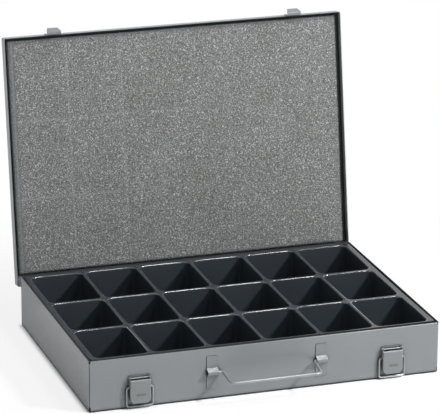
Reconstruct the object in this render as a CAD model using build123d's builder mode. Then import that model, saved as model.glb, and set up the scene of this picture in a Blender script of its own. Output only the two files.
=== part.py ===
"""Sheet-steel tool case with a compartment insert, a hinged lid, two toggle latches and a wire handle.

Millimetres. +X is the right-hand side seen from the front, +Y the back, +Z up. The origin is the middle
of the base's underside. The case stands with its lid open, as it does on a bench.
"""

import os
from math import cos, radians, sin

from build123d import *

# Base: a folded tray with a hem turned inwards round its rim
BASE_WIDTH = 435.0
BASE_DEPTH = 306.6
BASE_HEIGHT = 64.5
SHEET = 0.8
CORNER_RADIUS = 2.2
FOLD_RADIUS = 1.6
HEM_HEIGHT = 6.0
HEM_THICKNESS = 1.8
HEM_ROUND = 0.7
HEM_NOTCH = 1.4
HEM_NOTCH_DEPTH = 3.0
SEAM_WIDTH = 0.4
SEAM_BELOW_RIM = 8.0
RELIEF_RADIUS = 1.2
RELIEF_HEIGHT = 5.0

# Lid: a shallow pan that closes outside the base
LID_SKIRT = 13.0
LID_SIDE_GAP = 1.8
LID_FRONT_GAP = 1.2
LID_REST_GAP = 0.2
OPEN_ANGLE = 99.0

# Foam glued inside the lid, small enough to pass inside the base's hem
FOAM_THICKNESS = 5.5
FOAM_EDGE_GAP = 0.5
FOAM_HINGE_GAP = 13.5

# Hinge along the back edge
HINGE_END_INSET = 13.5
HINGE_DROP = 16.8
HINGE_LEAF = 0.8
BASE_LEAF_HEIGHT = 14.0
LID_LEAF_MARGIN = 1.6
KNUCKLE_RADIUS = 1.7
KNUCKLE_COUNT = 17
KNUCKLE_GAP = 0.3
KNUCKLE_WALL_GAP = 0.45
HINGE_PIN_RADIUS = 0.9
RUNNING_CLEARANCE = 0.05
SWING_CLEARANCE = 0.4

# Insert: one thin moulding of eighteen tapered cups under a flat top
CELL_COLUMNS = 6
CELL_ROWS = 3
RIDGE_WIDTH = 6.2
INSERT_SIDE_BORDER = 8.4
INSERT_END_BORDER = 7.65
CELL_RADIUS = 7.0
CELL_DRAFT = 2.0
INSERT_WALL = 1.0
INSERT_BELOW_RIM = 1.7
INSERT_EDGE_GAP = 0.7
INSERT_LIP = 6.0

# Toggle latches on the front wall, one near each end
LATCH_END_INSET = 60.5
LATCH_SHEET = 1.0
LATCH_PLATE_MARGIN = 0.3
LATCH_PLATE_ABOVE_PIN = 2.5
LATCH_PLATE_BELOW_BAIL = 11.2
LATCH_PIN_PROUD = 3.3
LATCH_PIN_RADIUS = 0.8
LATCH_EAR_WALL = 0.6
LATCH_EAR_GAP = 0.5

LEVER_WIDTH = 25.5
LEVER_PROUD = 7.2
LEVER_ARM = 11.3
LEVER_BELOW_BAIL = 19.6
LEVER_TOP_DROP = 1.9
LEVER_CURL_RADIUS = 2.0
LEVER_CURL_LENGTH = 2.4
LEVER_TIP_CUT_WIDTH = 3.8
LEVER_TIP_CUT_HEIGHT = 5.5
LEVER_SIDE_PROUD = 1.5
LEVER_SIDE_START = 5.2
LEVER_CORNER = 1.5
LEVER_EDGE_ROUND = 0.6
LEVER_RIB_ABOVE_TIP = 10.9
LEVER_RIB_LENGTH = 10.0
LEVER_RIB_WIDTH = 1.8
LEVER_RIB_PROUD = 0.4
LEVER_RIB_SOFT = 0.2

# The bail hangs just clear of the bench and latches just under the lid's edge
BAIL_WIRE_RADIUS = 1.1
BAIL_FLOOR_HEIGHT = 3.2
BAIL_LATCHED_DROP = 1.3
BAIL_PIVOT_PROUD = 3.0
BAIL_SIDE_GAP = 3.1
BAIL_BEND = 3.0
BAIL_STUB_INSIDE = 0.9
BAIL_LATCHED_ANGLE = 176.5

# Catches on the lid's front skirt
CATCH_SHEET = 1.0
CATCH_WIDTH = 18.0
CATCH_TIP_CUT = 2.8
CATCH_WIRE_PLAY = 0.2
CATCH_BEND = 0.6
CATCH_LIP_HEIGHT = 8.2
CATCH_LIP_FLARE = 3.5
CATCH_FLANGE_HEIGHT = 9.0
CATCH_BAIL_GAP = 0.3

# Handle: a bent wire held by two straps. It has slid a little to one side in them
HANDLE_BELOW_RIM = 30.4
HANDLE_WIRE_RADIUS = 1.7
HANDLE_ARCH_GAP = 0.3
HANDLE_SPAN = 113.6
HANDLE_END_INSET = 2.0
HANDLE_TAPER = 1.0
HANDLE_SLIP = 1.3
HANDLE_GRIP_SLIP = 0.5
HANDLE_REACH = 32.0
HANDLE_BELOW_LEVEL = 5.8
HANDLE_SHOULDER_BEND = 2.9
HANDLE_GRIP_BEND = 7.0
STRAP_SHOULDER_GAP = 4.25
STRAP_WIDTH = 13.5
STRAP_SHEET = 0.9
STRAP_BELOW_RIM = 10.35
STRAP_HEIGHT = 41.2
STRAP_ARCH_PROUD = 7.0
STRAP_ARCH_FOOT = 10.4
STRAP_ARCH_FRONT = 4.2
STRAP_ARCH_BEND = 0.5
STRAP_ROUND = 1.2

FRONT_Y = -BASE_DEPTH / 2
RIM_INNER_WIDTH = BASE_WIDTH - 2 * HEM_THICKNESS
RIM_INNER_DEPTH = BASE_DEPTH - 2 * HEM_THICKNESS

HINGE_STANDOFF = KNUCKLE_RADIUS + KNUCKLE_WALL_GAP
HINGE_LENGTH = BASE_WIDTH - 2 * HINGE_END_INSET
HINGE_Y = BASE_DEPTH / 2 + HINGE_STANDOFF
HINGE_Z = BASE_HEIGHT + LID_REST_GAP + SHEET - HINGE_DROP

# Lid frame: its origin is on the hinge's axis, and shut it lies along the case's own X, Y and Z
LID_FRAME = Plane(
    origin=(0, HINGE_Y, HINGE_Z),
    x_dir=(1, 0, 0),
    z_dir=(0, sin(radians(OPEN_ANGLE)), cos(radians(OPEN_ANGLE))),
)
LID_WIDTH = BASE_WIDTH + 2 * (LID_SIDE_GAP + SHEET)
LID_LENGTH = BASE_DEPTH + LID_SIDE_GAP + LID_FRONT_GAP + 2 * SHEET
LID_BACK = LID_SIDE_GAP + SHEET - HINGE_STANDOFF
LID_FRONT = LID_BACK - LID_LENGTH
LID_MIDDLE = (LID_BACK + LID_FRONT) / 2
LID_INNER_TOP = HINGE_DROP - SHEET

# Latch heights: the bail's pivot is halfway between its two resting places
LID_EDGE_Z = HINGE_Z + HINGE_DROP - LID_SKIRT
BAIL_PIVOT_Z = (LID_EDGE_Z - BAIL_LATCHED_DROP + BAIL_FLOOR_HEIGHT) / 2
BAIL_REACH = BAIL_PIVOT_Z - BAIL_FLOOR_HEIGHT
BAIL_SPAN = LEVER_WIDTH + 2 * BAIL_SIDE_GAP
LATCH_X = BASE_WIDTH / 2 - LATCH_END_INSET
LATCH_PIN_Z = BAIL_PIVOT_Z + LEVER_ARM
LATCH_PLATE_TOP = LATCH_PIN_Z + LATCH_PLATE_ABOVE_PIN
LATCH_PLATE_BOTTOM = BAIL_PIVOT_Z - LATCH_PLATE_BELOW_BAIL
LEVER_TOP = LATCH_PIN_Z - LEVER_TOP_DROP
LEVER_BOTTOM = BAIL_PIVOT_Z - LEVER_BELOW_BAIL
CATCH_SHELF_PROUD = 2 * CATCH_SHEET + 2 * BAIL_WIRE_RADIUS + CATCH_WIRE_PLAY

HANDLE_PIVOT_Z = BASE_HEIGHT - HANDLE_BELOW_RIM
HANDLE_PIVOT_PROUD = STRAP_ARCH_PROUD - STRAP_SHEET - HANDLE_ARCH_GAP - HANDLE_WIRE_RADIUS
STRAP_X = HANDLE_SPAN / 2 + STRAP_SHOULDER_GAP + STRAP_WIDTH / 2

SIDES = {"left": -1, "right": 1}


def save(builder, name):
    """Labels a finished piece and writes it out."""
    builder.part.label = name
    export_step(builder.part, f"parts/{name}.step")


def front_section(x):
    """Upright plane across the front wall: along it is the distance out of the wall, up it the height."""
    return Plane(origin=(x, FRONT_Y, 0), x_dir=(0, -1, 0), z_dir=(-1, 0, 0))


def lid_section(x, y):
    """The same across the lid, in the lid's own frame, measured forwards from y."""
    corner = LID_FRAME.from_local_coords(Vector(x, y, 0))
    return Plane(origin=corner, x_dir=-LID_FRAME.y_dir, z_dir=(-1, 0, 0))


# Base tray
def make_base_tray():
    with BuildPart() as base_tray:
        with BuildSketch():
            RectangleRounded(BASE_WIDTH, BASE_DEPTH, CORNER_RADIUS)
        extrude(amount=BASE_HEIGHT)
        fillet(base_tray.faces().sort_by(Axis.Z)[0].edges(), FOLD_RADIUS)
        offset(amount=-SHEET, openings=base_tray.faces().sort_by(Axis.Z)[-1])
        with BuildSketch(Plane.XY.offset(BASE_HEIGHT)):
            RectangleRounded(BASE_WIDTH - SHEET, BASE_DEPTH - SHEET, CORNER_RADIUS - SHEET / 2)
            RectangleRounded(
                RIM_INNER_WIDTH, RIM_INNER_DEPTH, CORNER_RADIUS - SHEET, mode=Mode.SUBTRACT
            )
        extrude(amount=-HEM_HEIGHT)
        fillet(base_tray.faces().sort_by(Axis.Z)[-1].edges(), HEM_ROUND)
        # The folded hems stop short of each other at the corners
        corners = GridLocations(BASE_WIDTH - CORNER_RADIUS, BASE_DEPTH - CORNER_RADIUS, 2, 2)
        with BuildSketch(Plane.XY.offset(BASE_HEIGHT)):
            with corners:
                Circle(HEM_NOTCH)
        extrude(amount=-HEM_NOTCH_DEPTH, mode=Mode.SUBTRACT)
        # The folds meet at a relief hole in each bottom corner
        with BuildSketch():
            with GridLocations(BASE_WIDTH - RELIEF_RADIUS, BASE_DEPTH - RELIEF_RADIUS, 2, 2):
                Circle(RELIEF_RADIUS)
        extrude(amount=RELIEF_HEIGHT, mode=Mode.SUBTRACT)
        # Above it the seam between two walls stays a little open
        for x in (-1, 1):
            for y in (-1, 1):
                corner = (x * (BASE_WIDTH / 2 - SHEET), y * (BASE_DEPTH / 2 - SHEET), RELIEF_HEIGHT / 2)
                with Locations(corner):
                    Box(
                        6 * SHEET,
                        SEAM_WIDTH,
                        BASE_HEIGHT - SEAM_BELOW_RIM - RELIEF_HEIGHT / 2,
                        rotation=(0, 0, x * y * 45),
                        align=(Align.CENTER, Align.CENTER, Align.MIN),
                        mode=Mode.SUBTRACT,
                    )
    save(base_tray, "base_tray")


# Compartment insert
def make_tray_insert():
    top = BASE_HEIGHT - INSERT_BELOW_RIM
    cup_depth = top - SHEET
    width = RIM_INNER_WIDTH - 2 * INSERT_EDGE_GAP
    depth = RIM_INNER_DEPTH - 2 * INSERT_EDGE_GAP
    column_pitch = (width - 2 * INSERT_SIDE_BORDER + RIDGE_WIDTH) / CELL_COLUMNS
    row_pitch = (depth - 2 * INSERT_END_BORDER + RIDGE_WIDTH) / CELL_ROWS
    cell_width = column_pitch - RIDGE_WIDTH
    cell_depth = row_pitch - RIDGE_WIDTH
    cells = GridLocations(column_pitch, row_pitch, CELL_COLUMNS, CELL_ROWS)
    with BuildPart() as tray_insert:
        with BuildSketch(Plane.XY.offset(top)):
            RectangleRounded(width, depth, CORNER_RADIUS)
        extrude(amount=-INSERT_WALL)
        with BuildSketch(Plane.XY.offset(top)):
            RectangleRounded(width, depth, CORNER_RADIUS)
            Rectangle(width - 2 * INSERT_WALL, depth - 2 * INSERT_WALL, mode=Mode.SUBTRACT)
        extrude(amount=-INSERT_LIP)
        with BuildSketch(Plane.XY.offset(top)) as cups:
            with cells:
                RectangleRounded(
                    cell_width + 2 * INSERT_WALL, cell_depth + 2 * INSERT_WALL, CELL_RADIUS + INSERT_WALL
                )
        extrude(amount=-cup_depth, taper=CELL_DRAFT)
        with BuildSketch(Plane.XY.offset(top)) as hollows:
            with cells:
                RectangleRounded(cell_width, cell_depth, CELL_RADIUS)
        extrude(amount=-(cup_depth - INSERT_WALL), taper=CELL_DRAFT, mode=Mode.SUBTRACT)
    save(tray_insert, "tray_insert")


# Lid
def make_lid_shell():
    with BuildPart() as lid_shell:
        with BuildSketch(LID_FRAME.offset(HINGE_DROP)):
            with Locations((0, LID_MIDDLE)):
                RectangleRounded(LID_WIDTH, LID_LENGTH, CORNER_RADIUS)
        extrude(amount=-LID_SKIRT)
        outer_face = lid_shell.faces().sort_by(Axis(LID_FRAME.origin, LID_FRAME.z_dir))[-1]
        fillet(outer_face.edges(), FOLD_RADIUS)
        inner_face = lid_shell.faces().sort_by(Axis(LID_FRAME.origin, LID_FRAME.z_dir))[0]
        offset(amount=-SHEET, openings=inner_face)
    save(lid_shell, "lid_shell")


def make_lid_foam():
    width = RIM_INNER_WIDTH - 2 * FOAM_EDGE_GAP
    front = HINGE_Y + RIM_INNER_DEPTH / 2 - FOAM_EDGE_GAP
    with BuildPart() as lid_foam:
        with BuildSketch(LID_FRAME.offset(LID_INNER_TOP)):
            # It stops short of the hinge, so that the rim passes it
            with Locations((0, -FOAM_HINGE_GAP)):
                Rectangle(width, front - FOAM_HINGE_GAP, align=(Align.CENTER, Align.MAX))
        extrude(amount=-FOAM_THICKNESS)
    save(lid_foam, "lid_foam")


# Hinge
def knuckle_middles(first):
    """Middles of every other knuckle along the hinge, from the given one."""
    pitch = HINGE_LENGTH / KNUCKLE_COUNT
    return [(i + 0.5) * pitch - HINGE_LENGTH / 2 for i in range(first, KNUCKLE_COUNT, 2)]


def add_knuckles(frame, first):
    """Rolled tubes on the hinge's axis, in the frame's own X."""
    length = HINGE_LENGTH / KNUCKLE_COUNT - KNUCKLE_GAP
    for x in knuckle_middles(first):
        with BuildSketch(Plane(origin=frame.from_local_coords(Vector(x, 0, 0)), z_dir=(1, 0, 0))) as ring:
            Circle(KNUCKLE_RADIUS)
            Circle(HINGE_PIN_RADIUS + RUNNING_CLEARANCE, mode=Mode.SUBTRACT)
        extrude(ring.sketch, amount=length / 2, both=True)


def make_hinge():
    axis_frame = Plane(origin=(0, HINGE_Y, HINGE_Z), x_dir=(1, 0, 0), z_dir=(0, 0, 1))
    notch_width = HINGE_LENGTH / KNUCKLE_COUNT + KNUCKLE_GAP
    notch = KNUCKLE_RADIUS + SWING_CLEARANCE

    with BuildPart() as hinge_base_leaf:
        with BuildSketch(Plane(origin=(0, BASE_DEPTH / 2, HINGE_Z), x_dir=(1, 0, 0), z_dir=(0, -1, 0))):
            with Locations((0, KNUCKLE_RADIUS / 2)):
                Rectangle(HINGE_LENGTH, BASE_LEAF_HEIGHT, align=(Align.CENTER, Align.MAX))
            for x in knuckle_middles(1):
                with Locations((x, -notch)):
                    Rectangle(notch_width, 2 * notch, align=(Align.CENTER, Align.MIN), mode=Mode.SUBTRACT)
        extrude(amount=-HINGE_LEAF)
        add_knuckles(axis_frame, 0)
    save(hinge_base_leaf, "hinge_base_leaf")

    with BuildPart() as hinge_lid_leaf:
        leaf_back = LID_FRAME.from_local_coords(Vector(0, LID_BACK, 0))
        with BuildSketch(Plane(origin=leaf_back, x_dir=(1, 0, 0), z_dir=-LID_FRAME.y_dir)):
            with Locations((0, HINGE_PIN_RADIUS + 2 * RUNNING_CLEARANCE)):
                Rectangle(
                    HINGE_LENGTH,
                    HINGE_DROP - LID_LEAF_MARGIN - HINGE_PIN_RADIUS,
                    align=(Align.CENTER, Align.MIN),
                )
            for x in knuckle_middles(0):
                with Locations((x, notch)):
                    Rectangle(notch_width, 2 * notch, align=(Align.CENTER, Align.MAX), mode=Mode.SUBTRACT)
        extrude(amount=-HINGE_LEAF)
        add_knuckles(LID_FRAME, 1)
    save(hinge_lid_leaf, "hinge_lid_leaf")

    with BuildPart() as hinge_pin:
        with BuildSketch(Plane(origin=(0, HINGE_Y, HINGE_Z), z_dir=(1, 0, 0))):
            Circle(HINGE_PIN_RADIUS)
        extrude(amount=HINGE_LENGTH / 2, both=True)
    save(hinge_pin, "hinge_pin")


# Toggle latches
def make_latch_plate(side):
    middle = SIDES[side] * LATCH_X
    ear_radius = LATCH_PIN_RADIUS + LATCH_EAR_WALL
    ear_outside = LEVER_WIDTH / 2 - LATCH_SHEET - LATCH_EAR_GAP
    with BuildPart() as latch_plate:
        with BuildSketch(Plane(origin=(middle, FRONT_Y, 0), x_dir=(1, 0, 0), z_dir=(0, -1, 0))):
            with Locations((0, LATCH_PLATE_BOTTOM)):
                Rectangle(
                    LEVER_WIDTH + 2 * LATCH_PLATE_MARGIN,
                    LATCH_PLATE_TOP - LATCH_PLATE_BOTTOM,
                    align=(Align.CENTER, Align.MIN),
                )
        extrude(amount=LATCH_SHEET)
        fillet(latch_plate.edges().filter_by(Axis.Y), ear_radius)
        for edge in (-1, 1):
            with BuildSketch(front_section(middle + edge * (ear_outside - LATCH_SHEET / 2))):
                with Locations((0, LATCH_PIN_Z)):
                    Rectangle(LATCH_PIN_PROUD, 2 * ear_radius, align=(Align.MIN, Align.CENTER))
                with Locations((LATCH_PIN_PROUD, LATCH_PIN_Z)):
                    Circle(ear_radius)
                    Circle(LATCH_PIN_RADIUS + RUNNING_CLEARANCE, mode=Mode.SUBTRACT)
            extrude(amount=LATCH_SHEET / 2, both=True)
    save(latch_plate, f"latch_plate_{side}")


def make_latch_pin(side):
    middle = SIDES[side] * LATCH_X
    with BuildPart() as latch_pin:
        with BuildSketch(front_section(middle)):
            with Locations((LATCH_PIN_PROUD, LATCH_PIN_Z)):
                Circle(LATCH_PIN_RADIUS)
        extrude(amount=LEVER_WIDTH / 2 + LATCH_EAR_GAP, both=True)
        for edge in (-1, 1):
            head = middle + edge * (LEVER_WIDTH / 2 + LATCH_EAR_GAP)
            with BuildSketch(front_section(head)):
                with Locations((LATCH_PIN_PROUD, LATCH_PIN_Z)):
                    Circle(LATCH_PIN_RADIUS + LATCH_EAR_WALL / 2)
            extrude(amount=-edge * LATCH_EAR_WALL / 2)
    save(latch_pin, f"latch_pin_{side}")


def make_latch_lever(side):
    """A channel of folded sheet, open behind. Its face curls inwards at the top and has a narrowed tip."""
    middle = SIDES[side] * LATCH_X
    half = LEVER_WIDTH / 2
    inside = LEVER_PROUD - LATCH_SHEET
    side_bottom = LEVER_BOTTOM + LEVER_SIDE_START
    curl_end = LEVER_PROUD - LEVER_CURL_LENGTH
    above = LATCH_PIN_Z + LEVER_ARM
    with BuildPart() as latch_lever:
        with BuildSketch(Plane.XY.offset(LEVER_BOTTOM)):
            with Locations((middle, FRONT_Y)):
                RectangleRounded(LEVER_WIDTH, 2 * LEVER_PROUD, LEVER_CORNER)
        extrude(amount=above)
        # Seen from the side: the flanges widen upwards and end round the pin
        with BuildSketch(front_section(middle)):
            with BuildLine():
                FilletPolyline(
                    (LATCH_PIN_PROUD, LATCH_PIN_Z),
                    (curl_end, LEVER_TOP),
                    (LEVER_PROUD, LEVER_TOP),
                    (LEVER_PROUD, LEVER_BOTTOM),
                    (inside, LEVER_BOTTOM),
                    (inside, side_bottom),
                    (LEVER_SIDE_PROUD, side_bottom + inside),
                    (LEVER_SIDE_PROUD, LATCH_PIN_Z),
                    radius=(0, 0, LEVER_CURL_RADIUS, 0, 0, 0, 0, 0),
                    close=True,
                )
            make_face()
            with Locations((LATCH_PIN_PROUD, LATCH_PIN_Z)):
                Circle(LATCH_PIN_RADIUS + LATCH_SHEET)
        extrude(amount=half, both=True, mode=Mode.INTERSECT)
        # The hollow between the flanges, which leaves a slot behind the curl
        with BuildSketch(front_section(middle)):
            with BuildLine():
                FilletPolyline(
                    (0, 0),
                    (inside, 0),
                    (inside, LEVER_TOP - LATCH_SHEET),
                    (curl_end, LEVER_TOP - LATCH_SHEET),
                    (curl_end, LEVER_TOP),
                    (LEVER_PROUD, LEVER_TOP),
                    (LEVER_PROUD, above),
                    (0, above),
                    radius=(0, 0, LEVER_CURL_RADIUS - LATCH_SHEET, 0, 0, 0, 0, 0),
                    close=True,
                )
            make_face()
        extrude(amount=half - LATCH_SHEET, both=True, mode=Mode.SUBTRACT)
        # Holes for the pin and the bail
        with BuildSketch(front_section(middle)):
            with Locations((LATCH_PIN_PROUD, LATCH_PIN_Z)):
                Circle(LATCH_PIN_RADIUS + RUNNING_CLEARANCE)
            with Locations((BAIL_PIVOT_PROUD, BAIL_PIVOT_Z)):
                Circle(BAIL_WIRE_RADIUS + RUNNING_CLEARANCE)
        extrude(amount=half, both=True, mode=Mode.SUBTRACT)
        # Seen from the front: two corners are cut off the tip
        face_plane = Plane(origin=(middle, FRONT_Y - LEVER_PROUD, 0), x_dir=(1, 0, 0), z_dir=(0, -1, 0))
        with BuildSketch(face_plane):
            for edge in (-1, 1):
                with BuildLine():
                    Polyline(
                        (edge * half, LEVER_BOTTOM),
                        (edge * half, LEVER_BOTTOM + LEVER_TIP_CUT_HEIGHT),
                        (edge * (half - LEVER_TIP_CUT_WIDTH), LEVER_BOTTOM),
                        close=True,
                    )
                make_face()
        extrude(amount=-LEVER_PROUD, mode=Mode.SUBTRACT)
        tip_edge = latch_lever.faces().sort_by(Axis.Y)[0].edges().filter_by(Axis.X).sort_by(Axis.Z)[0]
        fillet(tip_edge, LEVER_EDGE_ROUND)
        # A short raised rib stiffens the face
        with BuildSketch(face_plane):
            with Locations((0, LEVER_BOTTOM + LEVER_RIB_ABOVE_TIP)):
                SlotOverall(LEVER_RIB_LENGTH, LEVER_RIB_WIDTH)
        extrude(amount=LEVER_RIB_PROUD)
        fillet(latch_lever.faces().sort_by(Axis.Y)[0].edges(), LEVER_RIB_SOFT)
    save(latch_lever, f"latch_lever_{side}")


def make_latch_bail(side):
    middle = SIDES[side] * LATCH_X
    y = FRONT_Y - BAIL_PIVOT_PROUD
    stub = LEVER_WIDTH / 2 - LATCH_SHEET - BAIL_STUB_INSIDE
    with BuildPart() as latch_bail:
        with BuildLine() as wire:
            FilletPolyline(
                (middle - stub, y, BAIL_PIVOT_Z),
                (middle - BAIL_SPAN / 2, y, BAIL_PIVOT_Z),
                (middle - BAIL_SPAN / 2, y, BAIL_PIVOT_Z - BAIL_REACH),
                (middle + BAIL_SPAN / 2, y, BAIL_PIVOT_Z - BAIL_REACH),
                (middle + BAIL_SPAN / 2, y, BAIL_PIVOT_Z),
                (middle + stub, y, BAIL_PIVOT_Z),
                radius=BAIL_BEND,
            )
        with BuildSketch(Plane(origin=wire.line @ 0, z_dir=wire.line % 0)):
            Circle(BAIL_WIRE_RADIUS)
        sweep(path=wire.line)
    save(latch_bail, f"latch_bail_{side}")


def make_catch(side):
    """A hooked strip on the front skirt. Shut, the swung-up bail lies behind its flared lip."""
    middle = SIDES[side] * LATCH_X
    bail_top = BAIL_PIVOT_Z - BAIL_REACH * cos(radians(BAIL_LATCHED_ANGLE))
    shelf_top = bail_top - BAIL_WIRE_RADIUS - CATCH_BAIL_GAP - HINGE_Z
    skirt_bottom = HINGE_DROP - LID_SKIRT
    half = CATCH_SHEET / 2
    shelf = shelf_top - half
    lip_top = shelf + CATCH_LIP_HEIGHT
    with BuildPart() as catch:
        with BuildSketch(lid_section(middle, LID_FRONT)):
            with BuildLine():
                FilletPolyline(
                    (half, skirt_bottom + CATCH_FLANGE_HEIGHT),
                    (half, shelf),
                    (CATCH_SHELF_PROUD - half, shelf),
                    (CATCH_SHELF_PROUD - half + CATCH_LIP_FLARE, lip_top),
                    radius=CATCH_BEND + half,
                )
                offset(amount=half, side=Side.BOTH)
            make_face()
        extrude(amount=CATCH_WIDTH / 2, both=True)
        # The lip narrows towards its top
        lip_inside = LID_FRONT - CATCH_SHELF_PROUD + CATCH_SHEET
        lip_front = Plane(
            origin=LID_FRAME.from_local_coords(Vector(middle, lip_inside, 0)),
            x_dir=(1, 0, 0),
            z_dir=-LID_FRAME.y_dir,
        )
        with BuildSketch(lip_front):
            for edge in (-1, 1):
                with BuildLine():
                    Polyline(
                        (edge * CATCH_WIDTH / 2, shelf + CATCH_SHEET),
                        (edge * CATCH_WIDTH, shelf + CATCH_SHEET),
                        (edge * CATCH_WIDTH, lip_top + CATCH_SHEET),
                        (edge * (CATCH_WIDTH / 2 - CATCH_TIP_CUT), lip_top + CATCH_SHEET),
                        close=True,
                    )
                make_face()
        extrude(amount=CATCH_SHEET + CATCH_LIP_FLARE, mode=Mode.SUBTRACT)
    save(catch, f"catch_{side}")


# Handle
def make_handle_bracket(side):
    """A strap that stands out from the wall in the middle, where the wire turns in it."""
    middle = SIDES[side] * STRAP_X
    half = STRAP_SHEET / 2
    top = BASE_HEIGHT - STRAP_BELOW_RIM
    out = STRAP_ARCH_PROUD - half
    foot = STRAP_ARCH_FOOT / 2 - half
    front = STRAP_ARCH_FRONT / 2 - half
    with BuildPart() as handle_bracket:
        with BuildSketch(front_section(middle)):
            with BuildLine():
                FilletPolyline(
                    (half, top + STRAP_SHEET),
                    (half, HANDLE_PIVOT_Z + foot),
                    (out, HANDLE_PIVOT_Z + front),
                    (out, HANDLE_PIVOT_Z - front),
                    (half, HANDLE_PIVOT_Z - foot),
                    (half, top - STRAP_HEIGHT - STRAP_SHEET),
                    radius=STRAP_ARCH_BEND + half,
                )
                offset(amount=half, side=Side.BOTH)
            make_face()
        extrude(amount=STRAP_WIDTH / 2, both=True)
        # Seen from the front: a strip with rounded corners
        with BuildSketch(Plane(origin=(middle, FRONT_Y, 0), x_dir=(1, 0, 0), z_dir=(0, -1, 0))):
            with Locations((0, top - STRAP_HEIGHT / 2)):
                RectangleRounded(STRAP_WIDTH, STRAP_HEIGHT, STRAP_ROUND)
        extrude(amount=STRAP_ARCH_PROUD, mode=Mode.INTERSECT)
    save(handle_bracket, f"handle_bracket_{side}")


def make_handle_wire():
    drop = radians(HANDLE_BELOW_LEVEL)
    pivot_y = FRONT_Y - HANDLE_PIVOT_PROUD
    grip_y = pivot_y - HANDLE_REACH * cos(drop)
    grip_z = HANDLE_PIVOT_Z - HANDLE_REACH * sin(drop)
    stub = STRAP_X + STRAP_WIDTH / 2 - HANDLE_END_INSET
    shoulder = HANDLE_SPAN / 2
    grip = shoulder - HANDLE_TAPER
    with BuildPart() as handle_wire:
        with BuildLine() as wire:
            FilletPolyline(
                (HANDLE_SLIP - stub, pivot_y, HANDLE_PIVOT_Z),
                (HANDLE_SLIP - shoulder, pivot_y, HANDLE_PIVOT_Z),
                (HANDLE_GRIP_SLIP - grip, grip_y, grip_z),
                (HANDLE_GRIP_SLIP + grip, grip_y, grip_z),
                (HANDLE_SLIP + shoulder, pivot_y, HANDLE_PIVOT_Z),
                (HANDLE_SLIP + stub, pivot_y, HANDLE_PIVOT_Z),
                radius=(HANDLE_SHOULDER_BEND, HANDLE_GRIP_BEND, HANDLE_GRIP_BEND, HANDLE_SHOULDER_BEND),
            )
        with BuildSketch(Plane(origin=wire.line @ 0, z_dir=wire.line % 0)):
            Circle(HANDLE_WIRE_RADIUS)
        sweep(path=wire.line)
    save(handle_wire, "handle_wire")


os.makedirs("parts", exist_ok=True)
make_base_tray()
make_tray_insert()
make_lid_shell()
make_lid_foam()
make_hinge()
for side in SIDES:
    make_latch_plate(side)
    make_latch_pin(side)
    make_latch_lever(side)
    make_latch_bail(side)
    make_catch(side)
    make_handle_bracket(side)
make_handle_wire()
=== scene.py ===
import math

import bmesh
import bpy
from mathutils import Matrix, Vector, noise

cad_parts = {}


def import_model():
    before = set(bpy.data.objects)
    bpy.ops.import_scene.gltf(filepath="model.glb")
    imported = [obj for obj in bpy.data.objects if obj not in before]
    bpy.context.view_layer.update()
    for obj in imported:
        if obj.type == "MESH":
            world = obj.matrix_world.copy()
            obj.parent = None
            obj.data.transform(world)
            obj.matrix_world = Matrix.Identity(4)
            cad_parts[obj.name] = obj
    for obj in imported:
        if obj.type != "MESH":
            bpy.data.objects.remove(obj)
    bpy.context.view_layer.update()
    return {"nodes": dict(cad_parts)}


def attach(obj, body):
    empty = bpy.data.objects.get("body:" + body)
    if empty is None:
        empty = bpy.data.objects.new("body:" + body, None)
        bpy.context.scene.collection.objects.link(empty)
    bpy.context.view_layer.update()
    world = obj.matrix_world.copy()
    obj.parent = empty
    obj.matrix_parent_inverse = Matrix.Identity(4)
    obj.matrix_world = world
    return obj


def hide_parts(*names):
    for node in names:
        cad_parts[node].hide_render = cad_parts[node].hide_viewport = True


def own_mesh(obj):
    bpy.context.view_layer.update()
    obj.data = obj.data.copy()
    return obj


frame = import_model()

MM = 0.001

# The hinge's axis and the open lid's directions, as in the CAD model, in millimetres
HINGE = Vector((0, 155.45, 48.7))
OPEN_ANGLE = math.radians(99)
LID_ACROSS = Vector((0, math.cos(OPEN_ANGLE), -math.sin(OPEN_ANGLE)))
LID_NORMAL = Vector((0, math.sin(OPEN_ANGLE), math.cos(OPEN_ANGLE)))

# The insert's compartments
COLUMNS = 6
ROWS = 3
COLUMN_PITCH = 69.9
ROW_PITCH = 97.5
CELL_WIDTH = 64.6
CELL_DEPTH = 92.2
CELL_BOW = 0.5
CELL_RADIUS = 7.0
CELL_LEAST_RADIUS = 2.5
CELL_DRAFT = math.radians(2.5)
SHOULDER = 1.7
SHOULDER_STEPS = 8
WALL_STEPS = 4
FLOOR_Z = 1.8
FLOOR_FILLET = 5.0
FLOOR_STEPS = 5
# Below this depth a cell doesn't follow the sag of the top
SAG_DEPTH = 30

# The insert's flange. Slack and rise are at its left and right ends
INSERT_HALF_X = 215.0
INSERT_HALF_Y = 150.9
INSERT_CORNER = 6.5
INSERT_TOP = 63.0
INSERT_SAG = 0.9
INSERT_SLACK = (0.4, 2.6)
INSERT_RISE = (0.1, 0.35)
INSERT_EDGE = 0.6
INSERT_EDGE_STEPS = 5
INSERT_LIP = 7.0
INSERT_WALL = 1.0
WELD = 0.02

# Points along a cell's corners and sides
ARC_STEPS = 8
STRAIGHT_X = 5
STRAIGHT_Y = 7

# The foam liner. Heights are from the hinge's axis towards the lid's plate
FOAM_HALF_X = 215.2
FOAM_NEAR_HINGE = 13.5
FOAM_FAR = 306.3
FOAM_BACK = 16.0
FOAM_FACE = 10.5
FOAM_STEP = 2.2
FOAM_SIDE_STEPS = (0.45, 1.0)
FOAM_EDGE_DROP = 0.9
FOAM_EDGE_REACH = 1.6
PRINT_DEPTH = 0.35
PRINT_WIDTH = 3.5
PRINT_HALF_X = 212
PRINT_HALF_Y = 148
# Each printed line's width where it fades out and where it is full
PRINT_LINE = (1.6, 0.6)
# Scale and height of the face's unevenness
FOAM_FINE = (0.45, 0.16)
FOAM_BROAD = (0.06, 0.25)

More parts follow.
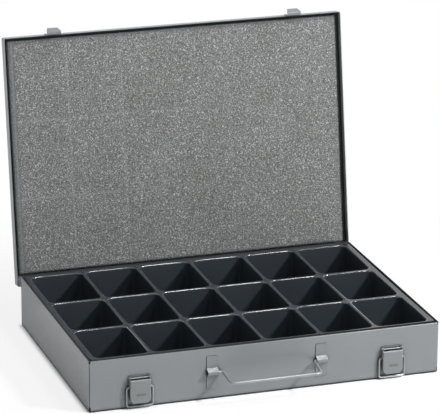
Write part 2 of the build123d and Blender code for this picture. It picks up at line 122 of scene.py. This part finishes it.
# From here on in metres. Where the insert has pressed and printed the foam of the open lid
PRESSED_X = 0.2066
PRESSED_Z = 0.3457
PRESSED_BLUR = 0.001
PRESSED_FADE_X = (0.4, -0.3)
PRINT_FADE_X = (0.22, -0.24)
ROW_PRINT_Z = (0.1525, 0.2489)

# How far the painted crevice shade reaches out of a crevice, and how open a place is where there is none or
# all of it
CREVICE_SHADE_REACH = 0.008
CREVICE_SHADE_OPEN = (0.92, 0.30)
# The same for the shade on the floor, from all of it to none
FLOOR_CREVICE = 0.010
FLOOR_OPEN = (0.50, 0.88)

# Where painted shade, painted highlights and painted shadows lie. Each pair runs from none to full
RIM_Z = 0.0645
FOLD_SHADE_Z = (0.0032, 0.0014)
CORNER_X = (0.2152, 0.2158)
CORNER_INNER_Y = (0.1510, 0.1516)
CORNER_OUTER_Y = (0.1540, 0.1536)
CORNER_LOW_Z = (0.0075, 0.0060)
CORNER_HIGH_Z = (0.0605, 0.0615)
RIM_TOP_Y = (0.1537, 0.1535)
RIM_TOP_Z = (RIM_Z - 0.0009, RIM_Z - 0.0006)
RIM_HIGHLIGHT_X = (-0.05, 0.17)
RIM_HIGHLIGHT_Y = (-0.1528, -0.1530)
RIM_HIGHLIGHT_Z = (RIM_Z - 0.0020, RIM_Z - 0.0016)
HANDLE_SHADOW_OFF_X = (0.062, 0.030)
HANDLE_SHADOW_Y = (-0.150, -0.152)
HANDLE_SHADOW_MIDDLE_Z = 0.047
HANDLE_SHADOW_OFF_Z = (0.030, 0.004)
LIT_SKIRT_X = (0.2180, 0.2186)
LIT_SKIRT_Z = (0.07, 0.08)
LIT_SKIRT_DEPTH = (0.0122, 0.0104)
LATCH_X = 0.157
RIB_SHADOW_SHIFT = 0.0008
RIB_SHADOW_OFF_X = (0.0062, 0.0046)
RIB_SHADOW_Y = (-0.1580, -0.1585)
RIB_SHADOW_MIDDLE_Z = 0.0184
RIB_SHADOW_OFF_Z = (0.0020, 0.0004)
WIRE_HIGHLIGHT_X = (0.13, 0.15)
WIRE_HIGHLIGHT_Z = (0.0056, 0.0040)

# The photo's camera
PHOTO_WIDTH = 440
FOCAL_PIXELS = 3161.918
SENSOR = 36.0
CAMERA_PLACE = Vector((-1148.5, -3429.1, 1392.9)) * MM
CAMERA_RIGHT = Vector((0.949532, -0.313645, 0.005943))
CAMERA_UP = Vector((0.094274, 0.303354, 0.948204))

# Light of the surround, and what shiny faces mirror in front of the case and behind it
SOFT_LIGHT = 0.18
MIRRORED_FRONT = 0.60
MIRRORED_BACK = 1.10
# The mirrored direction's y, from front to back
BACKDROP_Y = (-0.1, 0.5)
# Name, place, aim, width, height and power
LIGHTS = [
    ("key", (1.48, -1.24, 1.70), (0.05, 0, 0.10), 0.34, 0.26, 58),
    ("overhead", (0.66, -0.70, 2.04), (0, 0, 0), 0.45, 0.35, 16),
    ("left", (-1.55, -1.25, 1.35), (0, 0, 0.1), 0.45, 0.45, 3.5),
    ("back", (-0.5, 1.8, 1.3), (0, 0.1, 0.15), 0.9, 0.6, 13),
]

FLOOR_CORNERS = ((-6, -5), (6, -5), (6, 6), (-6, 6))
# The floor keeps part of the case's shadow inside the first distance and none past the second
SHADOW_REACH = (0.30, 0.60)
FLOOR_GLOW_NEAR = 0.82
FLOOR_GLOW_MIRRORED = 0.28


# Materials
class Nodes:
    """Short helpers for a node tree."""

    def __init__(self, tree):
        self.tree = tree

    def add(self, kind, inputs=None, **settings):
        """A node with its settings. Each input is linked if a socket is given, or else set."""
        node = self.tree.nodes.new(kind)
        for key, value in settings.items():
            setattr(node, key, value)
        for key, value in (inputs or {}).items():
            if isinstance(value, bpy.types.NodeSocket):
                self.tree.links.new(value, node.inputs[key])
            else:
                node.inputs[key].default_value = value
        return node

    def maths(self, operation, a, b=0.0):
        return self.add("ShaderNodeMath", {0: a, 1: b}, operation=operation).outputs[0]

    def times(self, first, *others):
        for other in others:
            first = self.maths("MULTIPLY", first, other)
        return first

    def most(self, first, *others):
        for other in others:
            first = self.maths("MAXIMUM", first, other)
        return first

    def off(self, value, middle=0.0):
        """Distance from the middle."""
        return self.maths("ABSOLUTE", self.maths("SUBTRACT", value, middle))

    def rescale(self, value, start, end, low, high, **settings):
        """low before start and high past end, evenly between unless settings say otherwise."""
        inputs = {"Value": value, "From Min": start, "From Max": end, "To Min": low, "To Max": high}
        return self.add("ShaderNodeMapRange", inputs, **settings).outputs["Result"]

    def ease(self, value, start, end):
        """0 before start and 1 past end, smoothly between."""
        return self.rescale(value, start, end, 0.0, 1.0, interpolation_type="SMOOTHSTEP")

    def between(self, value, low, high):
        """Spreads a noise's middle part over low to high."""
        return self.rescale(value, 0.3, 0.7, low, high)


class Shader(Nodes):
    """A principled material."""

    def __init__(self, name):
        self.material = bpy.data.materials.new(name)
        self.material.use_nodes = True
        super().__init__(self.material.node_tree)
        self.bsdf = self.tree.nodes["Principled BSDF"]
        self.place = self.add("ShaderNodeTexCoord").outputs["Object"]

    def axes(self):
        """The place's x, y and z."""
        return self.add("ShaderNodeSeparateXYZ", {"Vector": self.place}).outputs[:]

    def set(self, **values):
        """Plain values of the principled shader, with underscores for spaces."""
        for key, value in values.items():
            self.bsdf.inputs[key.replace("_", " ")].default_value = value

    def link(self, source, key):
        self.tree.links.new(source, self.bsdf.inputs[key])

    def noise(self, scale, detail=3.0, roughness=0.5):
        inputs = {"Vector": self.place, "Scale": scale, "Detail": detail, "Roughness": roughness}
        return self.add("ShaderNodeTexNoise", inputs).outputs["Fac"]

    def ramp(self, value, stops):
        """Maps a value through (position, grey or colour) stops."""
        node = self.add("ShaderNodeValToRGB", {"Fac": value})
        band = node.color_ramp
        while len(band.elements) < len(stops):
            band.elements.new(0.5)
        for element, (position, colour) in zip(band.elements, stops):
            element.position = position
            if not isinstance(colour, tuple):
                colour = (colour, colour, colour)
            element.color = (*colour, 1)
        return node.outputs["Color"]

    def mix(self, factor, a, b, blend="MIX"):
        a, b = ((*c, 1) if isinstance(c, tuple) else c for c in (a, b))
        node = self.add("ShaderNodeMix", data_type="RGBA", blend_type=blend)
        for key, value in ((0, factor), (6, a), (7, b)):
            if isinstance(value, bpy.types.NodeSocket):
                self.tree.links.new(value, node.inputs[key])
            else:
                node.inputs[key].default_value = value
        return node.outputs[2]

    def mottle(self, texture, dark, light):
        """Colour that wanders between two tones."""
        return self.mix(self.between(texture, 0, 1), dark, light)

    def bump(self, height, distance, strength=1.0):
        inputs = {"Height": height, "Distance": distance, "Strength": strength}
        self.link(self.add("ShaderNodeBump", inputs).outputs["Normal"], "Normal")


def base_painted_shade(s):
    """Painted shade along the bottom fold where the case meets the bench, in the base's open corner notches
    and on the rim's top.
    """
    x, y, z = s.axes()
    off_x, off_y = s.off(x), s.off(y)
    seam = s.times(s.ease(off_x, *CORNER_X), s.ease(off_y, *CORNER_INNER_Y), s.ease(off_y, *CORNER_OUTER_Y))
    corners = s.times(seam, s.most(s.ease(z, *CORNER_LOW_Z), s.ease(z, *CORNER_HIGH_Z)))
    rim = s.times(s.ease(z, *RIM_TOP_Z), s.ease(y, *RIM_TOP_Y))
    return s.most(s.ease(z, *FOLD_SHADE_Z), corners, rim)


def base_painted_light(s, colour):
    x, y, z = s.axes()
    # Painted shadow of the handle on the wall behind it
    handle_shadow = s.times(s.ease(s.off(x), *HANDLE_SHADOW_OFF_X), s.ease(y, *HANDLE_SHADOW_Y))
    handle_shadow = s.times(handle_shadow, s.ease(s.off(z, HANDLE_SHADOW_MIDDLE_Z), *HANDLE_SHADOW_OFF_Z))
    colour = s.mix(s.times(handle_shadow, 0.15), colour, (0.03, 0.03, 0.03))
    # Painted highlight along the front wall's top edge, brighter to the right
    rim_highlight = s.times(s.ease(y, *RIM_HIGHLIGHT_Y), s.ease(z, *RIM_HIGHLIGHT_Z))
    painted_light = s.maths("ADD", 0.10, s.times(s.ease(x, *RIM_HIGHLIGHT_X), 0.42))
    return s.mix(s.times(rim_highlight, painted_light), colour, (0.62, 0.63, 0.64))


def lit_skirt(s):
    """Painted light on the inside of the lid's right skirt near its edge, which lies in shade."""
    x, _, z = s.axes()
    along = s.add("ShaderNodeVectorMath", {0: s.place, 1: LID_NORMAL}, operation="DOT_PRODUCT")
    depth = s.maths("SUBTRACT", along.outputs["Value"], HINGE.dot(LID_NORMAL) * MM)
    return s.times(s.ease(x, *LIT_SKIRT_X), s.ease(z, *LIT_SKIRT_Z), s.ease(depth, *LIT_SKIRT_DEPTH))


def lever_rib_shadow(s):
    """A painted shadow along the rib of each latch lever."""
    x, y, z = s.axes()
    off_x = s.off(s.off(x, RIB_SHADOW_SHIFT), LATCH_X)
    line = s.times(s.ease(off_x, *RIB_SHADOW_OFF_X), s.ease(s.off(z, RIB_SHADOW_MIDDLE_Z), *RIB_SHADOW_OFF_Z))
    return s.times(line, s.ease(y, *RIB_SHADOW_Y))


def paint(name, tint, roughness, coat, sheet=False):
    """Satin enamel: slightly uneven in colour and gloss, with a fine orange-peel surface.

    The case's sheet carries painted shade, painted highlights and a painted shadow, the fittings a painted
    shadow along the lever ribs; both get painted shade in crevices."""
    s = Shader(name)
    darker = tuple(c * 0.94 for c in tint)
    lighter = tuple(c * 1.04 for c in tint)
    colour = s.mottle(s.noise(9.0, 4.0), darker, lighter)
    gloss = s.between(s.noise(160.0, 2.0), roughness - 0.04, roughness + 0.04)
    openness = s.add("ShaderNodeAmbientOcclusion", {"Distance": CREVICE_SHADE_REACH}, samples=8).outputs["AO"]
    crevice_shade = s.ease(openness, *CREVICE_SHADE_OPEN)
    if sheet:
        # Painted shade on the bottom fold, the corner notches and the rim's top, with less gloss and coat
        # there
        base_shade = base_painted_shade(s)
        colour = s.mix(base_shade, base_painted_light(s, colour), (0.02, 0.02, 0.02))
        # Painted light on the lid's right skirt, which also takes away the crevice shade there
        painted_light = lit_skirt(s)
        crevice_shade = s.times(crevice_shade, s.maths("SUBTRACT", 1.0, painted_light))
        colour = s.mix(s.times(painted_light, 0.35), colour, (0.50, 0.51, 0.50))
        s.link(s.most(gloss, s.times(base_shade, 0.9)), "Roughness")
        s.link(s.times(s.maths("SUBTRACT", 1.0, base_shade), coat), "Coat Weight")
    else:
        # Painted shadow along each lever's rib
        colour = s.mix(s.times(lever_rib_shadow(s), 0.42), colour, (0.02, 0.02, 0.02))
        s.link(gloss, "Roughness")
        s.set(Coat_Weight=coat)
    # Painted shade in the crevices where pieces meet, darker where ambient occlusion finds them closed in
    s.link(s.mix(crevice_shade, colour, (0.030, 0.032, 0.034)), "Base Color")
    s.set(Specular_IOR_Level=0.5, Coat_Roughness=0.14)
    s.bump(s.noise(420.0, 2.0), 0.00004)
    return s.material


def plastic(name, gloss):
    """The insert's sheet, with the range of its roughness."""
    s = Shader(name)
    s.link(s.mottle(s.noise(14.0), (0.032, 0.038, 0.045), (0.038, 0.046, 0.054)), "Base Color")
    s.link(s.between(s.noise(90.0, 2.0), *gloss), "Roughness")
    return s


def insert_plastic():
    s = plastic("insert_plastic", (0.17, 0.24))
    s.bump(s.noise(60.0, 2.0), 0.00003)
    return s.material


def polished_shoulder():
    """The rounded edges of the cells, which the drawn sheet has stretched smooth and shiny."""
    s = plastic("insert_shoulder", (0.11, 0.15))
    s.set(Specular_IOR_Level=1.0, Coat_Weight=1.0, Coat_Roughness=0.12)
    s.bump(s.noise(25.0, 1.0), 0.00001)
    return s.material


def shaded_cut_edge():
    """The insert's trimmed outer edge, matt and painted near-black as the shade in the gap inside the rim.
    """
    s = Shader("insert_edge")
    s.link(s.mottle(s.noise(80.0), (0.006, 0.006, 0.007), (0.010, 0.010, 0.011)), "Base Color")
    s.link(s.between(s.noise(200.0), 0.7, 0.8), "Roughness")
    s.set(Specular_IOR_Level=0.1)
    return s.material


def foam_material():
    """Grey open-cell foam: light fibres and dark pores, and a faint print of the insert's ridges."""
    s = Shader("foam")
    fleck = s.noise(700.0, 2.0, 0.6)
    grain = s.ramp(fleck, [(0.34, 0.110), (0.47, 0.160), (0.56, 0.209), (0.66, 0.495)])
    pores = s.ramp(s.noise(420.0, 3.0, 0.7), [(0.36, 0.68), (0.52, 1.0)])
    tone = s.mix(1.0, grain, pores, "MULTIPLY")
    x, _, z = s.axes()
    # The insert's borders press two sides and the front flat, the left side most
    side = s.ease(s.off(x), PRESSED_X - PRESSED_BLUR, PRESSED_X + PRESSED_BLUR)
    front = s.ease(z, PRESSED_Z - PRESSED_BLUR, PRESSED_Z + PRESSED_BLUR)
    pressed = s.most(s.times(side, s.ease(x, *PRESSED_FADE_X)), front)
    tone = s.mix(s.times(pressed, 0.65), tone, (0.125, 0.132, 0.137))
    # Its ridges leave fine lighter lines, clearer to the left
    columns = s.maths("FRACT", s.maths("ADD", s.maths("DIVIDE", x, COLUMN_PITCH * MM), 0.5))
    wide, narrow = PRINT_LINE
    line = s.ease(s.off(columns, 0.5), wide / COLUMN_PITCH, narrow / COLUMN_PITCH)
    for height in ROW_PRINT_Z:
        line = s.most(line, s.ease(s.off(z, height), wide * MM, narrow * MM))
    line = s.times(line, s.ease(x, *PRINT_FADE_X))
    tone = s.mix(s.times(line, 0.28), tone, (0.30, 0.31, 0.31))
    shade = s.ramp(s.noise(16.0), [(0.35, (0.93, 0.95, 0.93)), (0.65, (1.03, 1.04, 1.04))])
    s.link(s.mix(1.0, tone, shade, "MULTIPLY"), "Base Color")
    s.link(s.between(fleck, 0.85, 0.95), "Roughness")
    s.set(Specular_IOR_Level=0.2)
    s.bump(fleck, 0.0005, 0.5)
    return s.material


def plated_wire():
    s = Shader("plated_wire")
    colour = s.mottle(s.noise(60.0), (0.29, 0.305, 0.315), (0.34, 0.36, 0.37))
    # Painted highlight on the right latch bail's low cross wire
    x, _, z = s.axes()
    painted_light = s.times(s.ease(z, *WIRE_HIGHLIGHT_Z), s.ease(x, *WIRE_HIGHLIGHT_X))
    s.link(s.mix(painted_light, colour, (0.78, 0.80, 0.81)), "Base Color")
    s.link(s.between(s.noise(40.0), 0.28, 0.33), "Roughness")
    s.set(Metallic=0.35)
    return s.material


# Meshes
def mesh_object(name, bm, *materials):
    mesh = bpy.data.meshes.new(name)
    bm.to_mesh(mesh)
    bm.free()
    for material in materials:
        mesh.materials.append(material)
    obj = bpy.data.objects.new(name, mesh)
    bpy.context.scene.collection.objects.link(obj)
    return obj


def spread(points, count):
    """count + 1 points evenly along a polyline, its two ends included."""
    points = [Vector(p) for p in points]
    lengths = [(b - a).length for a, b in zip(points, points[1:])]
    out = []
    for i in range(count + 1):
        left = sum(lengths) * i / count
        for a, b, length in zip(points, points[1:], lengths):
            if left <= length or b is points[-1]:
                out.append(a.lerp(b, min(left / length, 1)))
                break
            left -= length
    return out


def arc(centre, radius, start, end, steps):
    angles = [start + (end - start) * i / steps for i in range(steps + 1)]
    return [Vector((centre[0] + radius * math.cos(a), centre[1] + radius * math.sin(a))) for a in angles]


def quarter_signs(quarter):
    """Signs of x and y in each quarter, anticlockwise from the back right."""
    return 1 if quarter in (0, 3) else -1, 1 if quarter in (0, 1) else -1


def cell_loop(half_x, half_y, radius):
    """Rounded rectangle, anticlockwise from the low end of its right side."""
    loop = []
    for quarter in range(4):
        sx, sy = quarter_signs(quarter)
        centre = (sx * (half_x - radius), sy * (half_y - radius))
        start = quarter * math.pi / 2
        corner = arc(centre, radius, start, start + math.pi / 2, ARC_STEPS)
        if quarter % 2 == 0:
            before = Vector((sx * half_x, -sy * (half_y - radius)))
            loop += spread([before, corner[0]], STRAIGHT_Y)[:-1]
        else:
            before = Vector((-sx * (half_x - radius), sy * half_y))
            loop += spread([before, corner[0]], STRAIGHT_X)[:-1]
        loop += corner[:-1]
    return loop


def bowed(p):
    """The drawn sheet bulges a little outwards between a cell's corners."""
    x_share = max(1 - (p.x / (CELL_WIDTH / 2)) ** 2, 0)
    y_share = max(1 - (p.y / (CELL_DEPTH / 2)) ** 2, 0)
    x = p.x * (1 + 2 * CELL_BOW * y_share / CELL_WIDTH)
    y = p.y * (1 + 2 * CELL_BOW * x_share / CELL_DEPTH)
    return Vector((x, y))


def tile_loop(half_x, half_y, radius, sides, rounding):
    """The tile's outline, point for point opposite cell_loop.

    sides is (right, top, left, bottom), rounding the radius of each rounded quarter."""
    right, top, left, bottom = sides
    corners = [(right, top), (left, top), (left, bottom), (right, bottom)]
    loop = []
    for quarter in range(4):
        cx, cy = corners[quarter]
        sx, sy = quarter_signs(quarter)
        on_x = Vector((cx, sy * (half_y - radius)))
        on_y = Vector((sx * (half_x - radius), cy))
        first, last = (on_x, on_y) if quarter % 2 == 0 else (on_y, on_x)
        if quarter in rounding:
            r = rounding[quarter]
            start = quarter * math.pi / 2
            bend = arc((cx - sx * r, cy - sy * r), r, start, start + math.pi / 2, ARC_STEPS)
            path = spread([first, *bend, last], ARC_STEPS)
        else:
            turn = Vector((cx, cy))
            path = spread([first, turn], ARC_STEPS // 2)[:-1] + spread([turn, last], ARC_STEPS // 2)
        if quarter % 2 == 0:
            loop += spread([Vector((cx, -sy * (half_y - radius))), path[0]], STRAIGHT_Y)[:-1]
        else:
            loop += spread([Vector((-sx * (half_x - radius), cy)), path[0]], STRAIGHT_X)[:-1]
        loop += path[:-1]
    return loop


def cell_profile():
    """(inset, depth) steps from the flat top down the wall to the floor."""
    steps = []
    lean = math.pi / 2 - CELL_DRAFT
    for i in range(SHOULDER_STEPS + 1):
        a = lean * i / SHOULDER_STEPS
        steps.append((SHOULDER * (math.sin(a) - 1), SHOULDER * (1 - math.cos(a))))
    depth = INSERT_TOP - FLOOR_Z
    inset, z = steps[-1]
    wall_end = depth - FLOOR_FILLET * (1 - math.cos(lean))
    for i in range(1, WALL_STEPS + 1):
        down = (wall_end - z) * i / WALL_STEPS
        steps.append((inset + down * math.tan(CELL_DRAFT), z + down))
    inset, z = steps[-1]
    for i in range(1, FLOOR_STEPS + 1):
        a = lean * (1 - i / FLOOR_STEPS)
        further = FLOOR_FILLET * (math.sin(lean) - math.sin(a))
        steps.append((inset + further, depth - FLOOR_FILLET * (1 - math.cos(a))))
    return steps


def top_height(y):
    """The moulding's top sags a little along its middle."""
    return INSERT_TOP + INSERT_SAG * (y / INSERT_HALF_Y) ** 2


def add_cell(bm, row, column):
    """One compartment with the flat top around it. Returns the faces of its shoulder."""
    x0 = (column - (COLUMNS - 1) / 2) * COLUMN_PITCH
    y0 = (row - (ROWS - 1) / 2) * ROW_PITCH
    half_x, half_y = CELL_WIDTH / 2, CELL_DEPTH / 2
    edge_x, edge_y = INSERT_HALF_X - INSERT_EDGE, INSERT_HALF_Y - INSERT_EDGE
    left, right = column == 0, column == COLUMNS - 1
    front, back = row == 0, row == ROWS - 1
    sides = [
        edge_x - x0 if right else COLUMN_PITCH / 2,
        edge_y - y0 if back else ROW_PITCH / 2,
        -edge_x - x0 if left else -COLUMN_PITCH / 2,
        -edge_y - y0 if front else -ROW_PITCH / 2,
    ]
    outer = (right and back, left and back, left and front, right and front)
    rounding = {quarter: INSERT_CORNER - INSERT_EDGE for quarter in range(4) if outer[quarter]}
    rings = [tile_loop(half_x + SHOULDER, half_y + SHOULDER, CELL_RADIUS + SHOULDER, sides, rounding)]
    depths = [0.0]
    for inset, depth in cell_profile():
        radius = max(CELL_RADIUS - inset, CELL_LEAST_RADIUS)
        rings.append([bowed(p) for p in cell_loop(half_x - inset, half_y - inset, radius)])
        depths.append(depth)
    made = []
    for ring, depth in zip(rings, depths):
        verts = []
        for p in ring:
            x, y = x0 + p.x, y0 + p.y
            top = top_height(y) if depth < SAG_DEPTH else INSERT_TOP
            verts.append(bm.verts.new(Vector((x, y, top - depth)) * MM))
        made.append(verts)
    shoulder = []
    count = len(made[0])
    for level, (a, b) in enumerate(zip(made, made[1:])):
        for i in range(count):
            j = (i + 1) % count
            face = bm.faces.new((a[i], a[j], b[j], b[i]))
            if 0 < level <= SHOULDER_STEPS:
                shoulder.append(face)
    bm.faces.new(made[-1])
    return shoulder


def add_lip(bm):
    """The outer edge rolls over and runs down inside the rim."""
    bends = [math.pi / 2 * i / INSERT_EDGE_STEPS for i in range(1, INSERT_EDGE_STEPS + 1)]
    steps = [(INSERT_EDGE * math.sin(a), INSERT_EDGE * (1 - math.cos(a))) for a in bends]
    steps.append((INSERT_EDGE, INSERT_LIP))
    border = [e for e in bm.edges if e.is_boundary]
    core_x, core_y = INSERT_HALF_X - INSERT_CORNER, INSERT_HALF_Y - INSERT_CORNER
    for out, down in steps:
        extruded = bmesh.ops.extrude_edge_only(bm, edges=border)["geom"]
        border = [g for g in extruded if isinstance(g, bmesh.types.BMEdge) and g.is_boundary]
        for v in {v for e in border for v in e.verts}:
            p = v.co / MM
            near = Vector((max(-core_x, min(core_x, p.x)), max(-core_y, min(core_y, p.y))))
            away = Vector((p.x, p.y)) - near
            away.normalize()
            radius = INSERT_CORNER - INSERT_EDGE + out
            z = top_height(p.y) - down
            v.co = Vector((near.x + away.x * radius, near.y + away.y * radius, z)) * MM


def set_askew(bm):
    """The gap behind the front rim widens and the flange rises to the right."""
    flange_start = -ROW_PITCH - CELL_DEPTH / 2 - SHOULDER
    for v in bm.verts:
        p = v.co / MM
        share = min(max((flange_start - p.y) / (flange_start + INSERT_HALF_Y), 0), 1)
        across = (p.x + INSERT_HALF_X) / (2 * INSERT_HALF_X)
        v.co.y += share * (INSERT_SLACK[0] + (INSERT_SLACK[1] - INSERT_SLACK[0]) * across) * MM
        v.co.z += share * (INSERT_RISE[0] + (INSERT_RISE[1] - INSERT_RISE[0]) * across) * MM


def make_insert():
    bm = bmesh.new()
    shoulders = []
    for row in range(ROWS):
        for column in range(COLUMNS):
            shoulders += add_cell(bm, row, column)
    for face in shoulders:
        face.material_index = 1
    bmesh.ops.remove_doubles(bm, verts=bm.verts, dist=WELD * MM)
    bmesh.ops.recalc_face_normals(bm, faces=bm.faces)
    top_faces = set(bm.faces)
    add_lip(bm)
    set_askew(bm)
    bmesh.ops.recalc_face_normals(bm, faces=bm.faces)
    for f in bm.faces:
        f.smooth = True
        if f not in top_faces:
            f.material_index = 2
    insert = mesh_object("insert_moulding", bm, insert_plastic(), polished_shoulder(), shaded_cut_edge())
    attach(insert, "insert")
    wall = insert.modifiers.new("wall", "SOLIDIFY")
    wall.thickness = INSERT_WALL * MM
    wall.offset = -1
    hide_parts("tray_insert")


def lid_point(x, along, height):
    """A point given in the shut lid's own directions from the hinge's axis."""
    return (HINGE + Vector((x, 0, 0)) + LID_ACROSS * along + LID_NORMAL * height) * MM


def ridge_print(x, y):
    """How deep the shut insert's ridges print the foam at x, y."""
    if abs(x) >= PRINT_HALF_X or abs(y) >= PRINT_HALF_Y:
        return 0.0
    to_column = abs((x / COLUMN_PITCH) - round(x / COLUMN_PITCH)) * COLUMN_PITCH
    to_row = abs((y / ROW_PITCH) - math.floor(y / ROW_PITCH) - 0.5) * ROW_PITCH
    nearest = (math.exp(-((distance / PRINT_WIDTH) ** 2)) for distance in (to_column, to_row))
    return PRINT_DEPTH * max(nearest)


def make_foam():
    """The liner: a slab with a soft uneven face that keeps the print of the insert's ridges."""
    nx = round(2 * FOAM_HALF_X / FOAM_STEP)
    ny = round((FOAM_FAR - FOAM_NEAR_HINGE) / FOAM_STEP)
    bm = bmesh.new()
    grid = []
    for j in range(ny + 1):
        line = []
        for i in range(nx + 1):
            x = -FOAM_HALF_X + 2 * FOAM_HALF_X * i / nx
            along = -FOAM_NEAR_HINGE - (FOAM_FAR - FOAM_NEAR_HINGE) * j / ny
            y = HINGE.y + along
            fine = noise.noise(Vector((x, y, 0)) * FOAM_FINE[0]) * FOAM_FINE[1]
            broad = noise.noise(Vector((x, y, 9)) * FOAM_BROAD[0]) * FOAM_BROAD[1]
            inset = min(i, nx - i, j, ny - j)
            edge = FOAM_EDGE_DROP * math.exp(-inset * FOAM_STEP / FOAM_EDGE_REACH)
            height = FOAM_FACE + ridge_print(x, y) + (fine + broad) + edge
            line.append(bm.verts.new(lid_point(x, along, height)))
        grid.append(line)
    for a, b in zip(grid, grid[1:]):
        for i in range(nx):
            bm.faces.new((a[i], b[i], b[i + 1], a[i + 1]))
    ring = [e for e in bm.edges if e.is_boundary]
    for step in FOAM_SIDE_STEPS:
        made = bmesh.ops.extrude_edge_only(bm, edges=ring)["geom"]
        ring = [g for g in made if isinstance(g, bmesh.types.BMEdge) and g.is_boundary]
        for v in {v for e in ring for v in e.verts}:
            level = (v.co / MM - HINGE).dot(LID_NORMAL)
            goal = FOAM_FACE + (FOAM_BACK - FOAM_FACE) * step
            v.co += LID_NORMAL * (goal - level) * MM
    bmesh.ops.contextual_create(bm, geom=ring)
    bmesh.ops.recalc_face_normals(bm, faces=bm.faces)
    for f in bm.faces:
        f.smooth = True
    foam = mesh_object("foam_liner", bm, foam_material())
    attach(foam, "lid")
    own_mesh(foam)
    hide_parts("lid_foam")


# Stage
def camera():
    data = bpy.data.cameras.new("camera")
    data.sensor_width = SENSOR
    data.lens = SENSOR * FOCAL_PIXELS / PHOTO_WIDTH
    obj = bpy.data.objects.new("camera", data)
    bpy.context.scene.collection.objects.link(obj)
    turn = Matrix((CAMERA_RIGHT, CAMERA_UP, CAMERA_RIGHT.cross(CAMERA_UP))).transposed()
    obj.matrix_world = Matrix.Translation(CAMERA_PLACE) @ turn.to_4x4()
    bpy.context.scene.camera = obj


def area_light(name, place, aim, width, height, power):
    data = bpy.data.lights.new(name, "AREA")
    data.shape = "RECTANGLE"
    data.size, data.size_y = width, height
    data.energy = power
    obj = bpy.data.objects.new(name, data)
    obj.location = place
    obj.rotation_mode = "QUATERNION"
    obj.rotation_quaternion = (Vector(aim) - Vector(place)).to_track_quat("-Z", "Y")
    bpy.context.scene.collection.objects.link(obj)


def world():
    """Even studio surround with a brighter backdrop; straight behind the object it shows white."""
    w = bpy.data.worlds.new("studio")
    bpy.context.scene.world = w
    w.use_nodes = True
    n = Nodes(w.node_tree)
    n.tree.nodes.clear()
    path = n.add("ShaderNodeLightPath").outputs
    way = n.add("ShaderNodeTexCoord").outputs["Generated"]
    behind = n.add("ShaderNodeSeparateXYZ", {"Vector": way}).outputs["Y"]
    level = n.rescale(behind, *BACKDROP_Y, MIRRORED_FRONT, MIRRORED_BACK)
    tint = (0.97, 0.985, 1.0, 1)
    soft = n.add("ShaderNodeBackground", {"Color": tint, "Strength": SOFT_LIGHT}).outputs[0]
    mirrored = n.add("ShaderNodeBackground", {"Strength": level}).outputs[0]
    white = n.add("ShaderNodeBackground", {"Strength": 1.0}).outputs[0]
    shine = n.add("ShaderNodeMixShader", {0: path["Is Glossy Ray"], 1: soft, 2: mirrored}).outputs[0]
    seen = n.add("ShaderNodeMixShader", {0: path["Is Camera Ray"], 1: shine, 2: white}).outputs[0]
    n.add("ShaderNodeOutputWorld", {"Surface": seen})


def floor_material():
    """Matt white that also glows, so that the case's shadow shows only in part and only near it."""
    s = Shader("floor")
    s.set(Base_Color=(0.86, 0.86, 0.86, 1), Roughness=0.9, Specular_IOR_Level=0.1)
    reach = s.add("ShaderNodeVectorMath", {0: s.place}, operation="LENGTH").outputs["Value"]
    far = s.rescale(reach, *SHADOW_REACH, FLOOR_GLOW_NEAR, 1.0)
    # Where the case nearly touches it the floor stays dark
    openness = s.add("ShaderNodeAmbientOcclusion", {"Distance": FLOOR_CREVICE}, samples=12).outputs["AO"]
    open_share = s.rescale(openness, *FLOOR_OPEN, 0.0, 1.0)
    path = s.add("ShaderNodeLightPath").outputs
    mirrored = s.times(path["Is Glossy Ray"], FLOOR_GLOW_MIRRORED)
    seen = s.maths("ADD", mirrored, path["Is Camera Ray"])
    glow = s.add("ShaderNodeEmission", {"Strength": 1.0}).outputs[0]
    share = s.times(seen, s.times(far, open_share))
    mix = s.add("ShaderNodeMixShader", {0: share, 1: s.bsdf.outputs[0], 2: glow}).outputs[0]
    s.tree.links.new(mix, s.tree.nodes["Material Output"].inputs["Surface"])
    return s.material


def floor():
    bm = bmesh.new()
    for x, y in FLOOR_CORNERS:
        bm.verts.new((x, y, 0))
    bm.faces.new(bm.verts)
    obj = mesh_object("floor", bm, floor_material())


case_paint = paint("case_paint", (0.205, 0.222, 0.230), 0.42, 0.55, sheet=True)
fitting_paint = paint("fitting_paint", (0.190, 0.207, 0.213), 0.36, 0.75)
wire = plated_wire()
for name, node in frame["nodes"].items():
    node.data.materials.clear()
    if name.startswith(("handle_wire", "latch_bail", "latch_pin", "hinge_pin")):
        node.data.materials.append(wire)
    elif name.startswith(("base_tray", "lid_shell", "hinge")):
        node.data.materials.append(case_paint)
    else:
        node.data.materials.append(fitting_paint)
make_insert()
make_foam()

camera()
world()
floor()
for light in LIGHTS:
    area_light(*light)
bpy.context.scene.view_settings.view_transform = "Standard"
